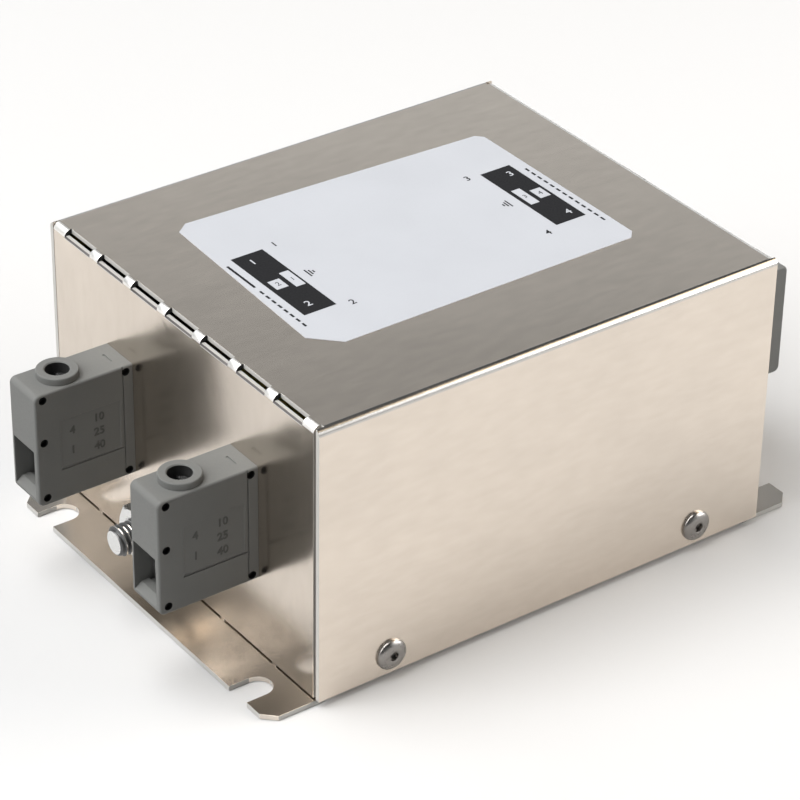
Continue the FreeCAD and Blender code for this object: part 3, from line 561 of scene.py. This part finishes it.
def terminal_housing(place):
    """A housing with a shallow sunk panel on one side that carries plain moulded numbers. The
    numbers are a darker copy of the plastic, painted shade, and the insides of the holes are
    painted near black as shade.
    """
    name = "terminal_housing_" + place
    bm = copied(name)
    ease(bm, FINE_EDGE)
    end = 1 if place.startswith("front") else -1
    wall = max(end * vert.co.x for vert in bm.verts)
    sunk_panel(bm, end, wall)
    middle = -TERMINAL_X if place.endswith("left") else TERMINAL_X
    # Faces inside the pin holes and the screwdriver's hole take the near black: painted shade.
    for face in bm.faces:
        if end * face.calc_center_median().x >= wall - SIDE_REACH:
            continue
        points = [
            (v.co.x / MM - middle, FACE - end * v.co.y / MM, v.co.z / MM) for v in face.verts
        ]
        if in_hole(points):
            face.material_index = 1
    upright = Matrix(((0, 0, end, 0), (end, 0, 0, 0), (0, 1, 0, 0), (0, 0, 0, 1)))
    for text, u, z in NUMBERS:
        figure = figure_mesh(text, NUMBER_HEIGHT, NUMBER_HALF_DEPTH, NUMBER_WEIGHT)
        spot = (end * (wall - NUMBER_SINK * MM), end * (FACE - u) * MM, z * MM)
        figure.transform(Matrix.Translation(spot) @ upright)
        # The numbers take the darker plastic: painted shade.
        for polygon in figure.polygons:
            polygon.material_index = 2
        bm.from_mesh(figure)
        bpy.data.meshes.remove(figure)
    materials = [MATERIALS["terminal_plastic"], HOLE_PAINTED_SHADE, MOULDED_MARK_PAINTED_SHADE]
    finish(bm, "terminal_" + place, "terminal_plastic", [name], materials=materials)


for place in PLACES:
    terminal_housing(place)
    dressed("clamp_cage_" + place, "clamp_" + place, "zinc_steel", SOFT_EDGE)
    dressed("current_bar_" + place, "bar_" + place, "bar_copper", SOFT_EDGE)
dressed("terminal_screws", "clamp_screws", "zinc_steel", SOFT_EDGE)


# Earth studs

EARTH_Z = 16.4
THREAD_START = 8.0
STUD_LENGTH = 14.7
PITCH = 1.0
TURNS = 10
TURN_STEPS = 64
RUN_IN = 1.5  # the thread is made this much longer at its start, and then cut
CREST = 2.96
ROOT = 2.36
TIP = 2.25
THREAD_PROFILE = ((0.0, CREST), (0.16, CREST), (0.46, ROOT), (0.56, ROOT - 0.03), (0.66, ROOT))
CHAMFER_STEPS = 4
CHAMFER_STEP = 0.18
WASHERS_MEET = 53.0
HAIR = 0.01


def chamfer_tip(bm):
    """Draws the thread's end in to a cone."""
    for k in range(1, CHAMFER_STEPS + 1):
        y = FACE - STUD_LENGTH + CHAMFER_STEP * k
        slice_through(bm, bm.faces, (0, y, 0), (0, 1, 0))
    for vert in bm.verts:
        across = Vector((vert.co.x, 0, vert.co.z - EARTH_Z * MM))
        allowed = (TIP + STUD_LENGTH) * MM - (FACE * MM - vert.co.y)
        if across.length > allowed:
            vert.co -= across * (1 - allowed / across.length)


def thread():
    """A right-handed 6 mm thread with a chamfered end, at the front."""
    bm = bmesh.new()
    verts = []
    for k in range(TURNS):
        u = THREAD_START - RUN_IN + PITCH * k
        for along, radius in THREAD_PROFILE:
            verts.append(bm.verts.new(Vector((radius, FACE - u - along, EARTH_Z)) * MM))
    edges = [bm.edges.new(pair) for pair in zip(verts, verts[1:])]
    bmesh.ops.spin(
        bm, geom=verts + edges, cent=(0, 0, EARTH_Z * MM), axis=(0, -1, 0),
        dvec=(0, -PITCH * MM / TURN_STEPS, 0), angle=math.tau, steps=TURN_STEPS,
        use_merge=False, use_duplicate=False,
    )
    bmesh.ops.remove_doubles(bm, verts=bm.verts, dist=1e-6)
    cut_off(bm, (0, FACE - THREAD_START, 0), (0, 1, 0))
    cut_off(bm, (0, FACE - STUD_LENGTH, 0), (0, -1, 0))
    chamfer_tip(bm)
    bmesh.ops.recalc_face_normals(bm, faces=bm.faces)
    # Faces below the crest take the dark material: painted shade in the thread's grooves.
    for face in bm.faces:
        centre = face.calc_center_median()
        radius = math.hypot(centre.x, centre.z - EARTH_Z * MM)
        end = abs(face.normal.y) > 0.999
        face.material_index = 0 if end or radius > (CREST - 0.1) * MM else 1
    return bm


def studs():
    bm = copied("earth_screws")
    for side in (-1, 1):
        cut_off(bm, (0, side * (THREAD_START - FACE), 0), (0, side, 0))
    ease(bm, FINE_EDGE)
    threads = thread()
    mesh = bpy.data.meshes.new("threads")
    for _ in range(2):
        threads.to_mesh(mesh)
        bm.from_mesh(mesh)
        threads.transform(Matrix.Rotation(math.pi, 4, "Z"))
    threads.free()
    bpy.data.meshes.remove(mesh)
    materials = [MATERIALS["zinc_steel"], GROOVE_PAINTED_SHADE]
    finish(bm, "studs", "zinc_steel", ["earth_screws"], materials=materials)


def plain_washers():
    """Two washers lie on each other at each end. The outer one is parted by a hair."""
    bm = raw_copy("plain_washers")
    bmesh.ops.split_edges(bm, edges=bm.edges)
    for face in bm.faces:
        centre = face.calc_center_median()
        beyond = abs(centre.y) - WASHERS_MEET * MM
        inner_side = face.normal.y * centre.y < -0.9 * abs(centre.y)
        if beyond > ON_PLANE or (inner_side and abs(beyond) < ON_PLANE):
            for vert in face.verts:
                vert.co.y += math.copysign(HAIR * MM, centre.y)
    merge(bm)
    ease(bm, SOFT_EDGE)
    finish(bm, "plain_washer_pair", "zinc_steel", ["plain_washers"])


studs()
dressed("earth_nuts", "nuts", "zinc_steel", SOFT_EDGE)
dressed("toothed_washers", "toothed_washer_pair", "zinc_steel", FINE_EDGE)
plain_washers()
dressed("spring_washers", "spring_washer_pair", "zinc_steel", SOFT_EDGE)


# The pieces inside keep their shapes

INSIDE = {
    "terminal_retainers": "retainer_plastic",
    "earth_lugs": "tinned_copper",
    "earth_wires": "wire_sleeve",
    "insulating_tray": "tray_plastic",
    "circuit_board": "board_laminate",
    "choke_core": "core_coating",
    "choke_winding_right": "enamelled_copper",
    "choke_winding_left": "enamelled_copper",
    "choke_divider": "tray_plastic",
    "line_capacitor_front": "capacitor_case",
    "line_capacitor_rear": "capacitor_case",
    "earth_capacitors": "small_capacitor_case",
    "discharge_resistor": "resistor_coating",
    "line_leads": "line_sleeve",
}
for name, slot in INSIDE.items():
    for material_slot in NODES[name].material_slots:
        material_slot.material = MATERIALS[slot]


# Floor, light and camera

FLOOR_HALF = 6.0
FLOOR_DROP = 0.1  # keeps the floor clear of the base
FLOOR_GREY = 0.45

# Place, target, width and height, radiance and colour
WHITE = (1.0, 1.0, 1.0)
WARM = (1.0, 0.80, 0.58)
LIGHTS = {
    "key_light": ((-0.24, -1.40, 0.98), (0.0, 0.0, 0.03), (1.1, 1.3), 6.0, WHITE),
    "top_light": ((-0.24, -0.50, 1.48), (0.0, 0.0, 0.03), (1.2, 1.2), 8.0, WHITE),
    "left_light": ((-0.99, -0.20, 1.02), (0.0, -0.02, 0.03), (0.6, 0.6), 1.8, WHITE),
    "warm_light": ((0.50, 1.10, 1.00), (0.25, 0.15, 0.0), (0.8, 0.8), 3.1, WARM),
    "back_light": ((1.05, 1.15, 0.60), (0.0, 0.05, 0.03), (1.5, 1.1), 0.95, WHITE),
    "rear_light": ((0.36, 0.52, 0.28), (0.06, 0.08, 0.0), (0.42, 0.42), 6.2, WHITE),
}
TENT_COLOUR = (0.94, 0.975, 1.0, 1.0)

AZIMUTH, ELEVATION, ROLL = (math.radians(a) for a in (53.584, 32.475, 0.981))
TARGET = (6.382, -6.748, 29.0)
DISTANCE = 0.617
SENSOR = 36.0
LENS = 149.9


def stage_floor():
    bm = bmesh.new()
    drop = Matrix.Translation((0, 0, -FLOOR_DROP * MM))
    bmesh.ops.create_grid(bm, x_segments=1, y_segments=1, size=FLOOR_HALF, matrix=drop)
    mesh = bpy.data.meshes.new("floor")
    bm.to_mesh(mesh)
    bm.free()
    floor = bpy.data.objects.new("floor", mesh)
    bpy.context.scene.collection.objects.link(floor)
    material, _, shader = new_material("floor_paper")
    shader.inputs["Base Color"].default_value = (FLOOR_GREY, FLOOR_GREY, FLOOR_GREY, 1.0)
    shader.inputs["Roughness"].default_value = 1.0
    shader.inputs["Specular IOR Level"].default_value = 0.0
    mesh.materials.append(material)


def soft_box(name, place, target, size, radiance, colour):
    data = bpy.data.lights.new(name, "AREA")
    data.shape = "RECTANGLE"
    data.size, data.size_y = size
    data.energy = radiance * math.pi * size[0] * size[1]
    data.color = colour
    light = bpy.data.objects.new(name, data)
    toward = Vector(target) - Vector(place)
    turn = toward.to_track_quat("-Z", "Y").to_matrix().to_4x4()
    light.matrix_world = Matrix.Translation(place) @ turn
    bpy.context.scene.collection.objects.link(light)


def studio_world():
    """A white tent, lit from the front left: bright near the horizon, darker above and right."""
    world = bpy.data.worlds.new("studio")
    world.use_nodes = True
    tree = world.node_tree
    background = tree.nodes["Background"]
    place = add_node(tree, "ShaderNodeTexCoord")
    parts = add_node(tree, "ShaderNodeSeparateXYZ")
    tree.links.new(place.outputs["Generated"], parts.inputs["Vector"])
    bands = (
        spread(tree, parts.outputs["Z"], 0.95, 0.06, 0.36, 0.62),
        spread(tree, parts.outputs["Z"], 0.08, 1.0, 0.06, 0.22),
        spread(tree, parts.outputs["X"], 1.0, 0.22, -0.15, 0.45),
        spread(tree, parts.outputs["Y"], 0.85, 1.0, -0.55, -0.25),
    )
    strength = bands[0]
    for band in bands[1:]:
        strength = joined(tree, "MULTIPLY", strength, band)
    tree.links.new(strength, background.inputs["Strength"])
    background.inputs["Color"].default_value = TENT_COLOUR
    bpy.context.scene.world = world


def place_camera():
    """The camera at the photograph's angle, as fitted to the case's edges."""
    level = math.cos(ELEVATION)
    back = Vector((
        math.sin(AZIMUTH) * level, -math.cos(AZIMUTH) * level, math.sin(ELEVATION),
    ))
    right = Vector((math.cos(AZIMUTH), math.sin(AZIMUTH), 0.0))
    up = back.cross(right)
    turned_right = math.cos(ROLL) * right + math.sin(ROLL) * up
    turned_up = -math.sin(ROLL) * right + math.cos(ROLL) * up
    data = bpy.data.cameras.new("camera")
    data.sensor_width = SENSOR
    data.lens = LENS
    data.clip_start = 0.02
    data.clip_end = 20.0
    camera = bpy.data.objects.new("camera", data)
    matrix = Matrix((turned_right, turned_up, back)).transposed().to_4x4()
    matrix.translation = Vector(TARGET) * MM + back * DISTANCE
    camera.matrix_world = matrix
    bpy.context.scene.collection.objects.link(camera)
    bpy.context.scene.camera = camera


stage_floor()
for name, settings in LIGHTS.items():
    soft_box(name, *settings)
studio_world()
place_camera()
bpy.context.scene.view_settings.view_transform = "Standard"
